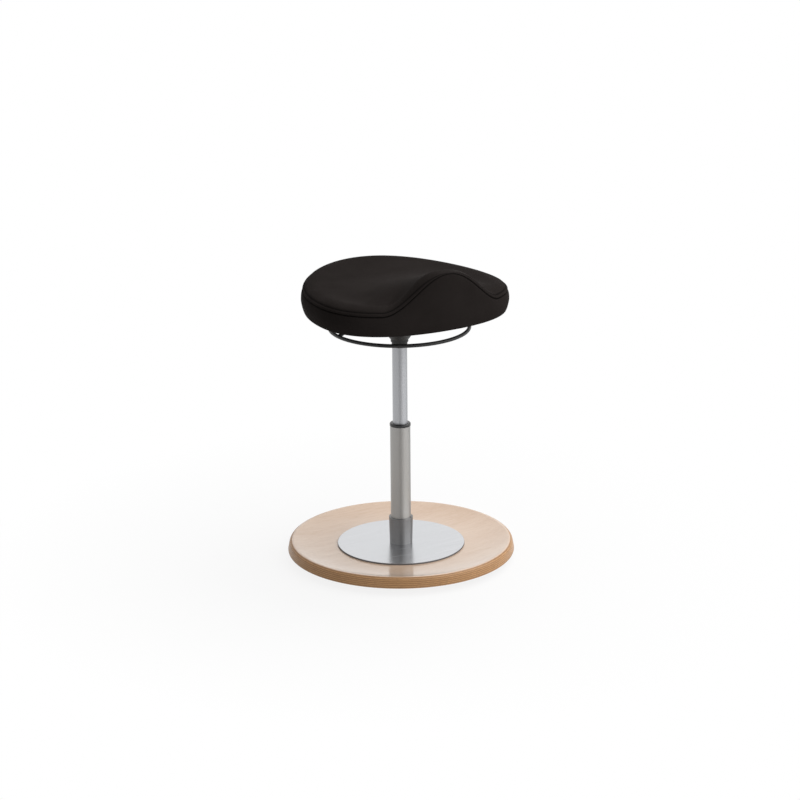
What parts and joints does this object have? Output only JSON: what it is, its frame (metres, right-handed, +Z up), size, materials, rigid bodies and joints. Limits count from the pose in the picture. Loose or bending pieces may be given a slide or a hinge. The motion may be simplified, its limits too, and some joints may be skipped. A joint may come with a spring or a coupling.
{
  "type": "swivel stool",
  "caption": "Height-adjustable swivel stool: black saddle seat with a raised front, gas column with a release ring, and a dished plywood base with a steel plate.",
  "frame": {"origin": "on the floor, on the column's axis", "axes": "+Z up along the column; -Y towards the seat's raised front; +X to the sitter's left"},
  "size_m": [0.4282, 0.4282, 0.5877],
  "materials": {
    "wood": "clear satin lacquer on beech plywood",
    "ply": "raw plywood",
    "rubber": "matte",
    "satin_steel": "fine brushed",
    "collar_steel": "turned",
    "tube_steel": "satin",
    "chrome": "polished",
    "black_plastic": "semi gloss",
    "zinc_steel": "zinc plated",
    "brass": "machined",
    "black_metal": "black powder coat",
    "liner_cloth": "black non-woven cloth",
    "leather": "matte black leather"
  },
  "bodies": {
    "base": {"rocker_base": "wood", "floor_ring": "rubber", "base_plate": "satin_steel", "base_screws": "zinc_steel", "column_collar": "collar_steel", "column_tube": "tube_steel", "guide_bush": "black_plastic", "foot_disc": "zinc_steel", "lower_race": "zinc_steel"},
    "bearing": {"bearing_cage": "black_plastic"},
    "rod": {"piston_rod": "chrome", "rod_clip": "zinc_steel", "upper_race": "zinc_steel", "bump_stop": "rubber", "piston": "black_plastic", "piston_ring": "rubber", "piston_nut": "zinc_steel"},
    "seat": {"gas_tube": "chrome", "rod_guide": "black_plastic", "rod_seal": "rubber", "valve_body": "brass", "cone_socket": "black_metal", "hub_bell": "black_metal", "seat_plate": "black_metal", "pivot_pin": "zinc_steel", "seat_bolts": "zinc_steel", "tee_nuts": "zinc_steel", "seat_board": "ply", "seat_liner": "liner_cloth", "seat_cushion": "leather"},
    "pin": {"release_pin": "zinc_steel"},
    "ring": {"trigger_plate": "black_metal", "release_ring": "black_metal"}
  },
  "joints": [
    {"name": "seat_swivel", "type": "hinge", "parent": "base", "child": "rod", "pos_m": [0, 0, 0.02], "axis": [0, 0, 1], "continuous": true},
    {"name": "bearing_roll", "type": "hinge", "parent": "base", "child": "bearing", "pos_m": [0, 0, 0.0185], "axis": [0, 0, 1], "continuous": true},
    {"name": "seat_height", "type": "slide", "parent": "rod", "child": "seat", "axis": [0, 0, 1], "range_m": [-0.14, 0]},
    {"name": "ring_tilt", "type": "hinge", "parent": "seat", "child": "ring", "pos_m": [0, -0.025, 0.471], "axis": [-1, 0, 0], "range_deg": [0, 7], "stiffness_Nm_per_rad": 8, "springref_deg": -3.44},
    {"name": "pin_press", "type": "slide", "parent": "seat", "child": "pin", "axis": [0, 0, -1], "range_m": [0, 0.003]}
  ],
  "couplings": [
    {"joint": "bearing_roll", "follows": "seat_swivel", "ratio": 0.5},
    {"joint": "pin_press", "follows": "ring_tilt", "m_per_rad": 0.02447}
  ]
}
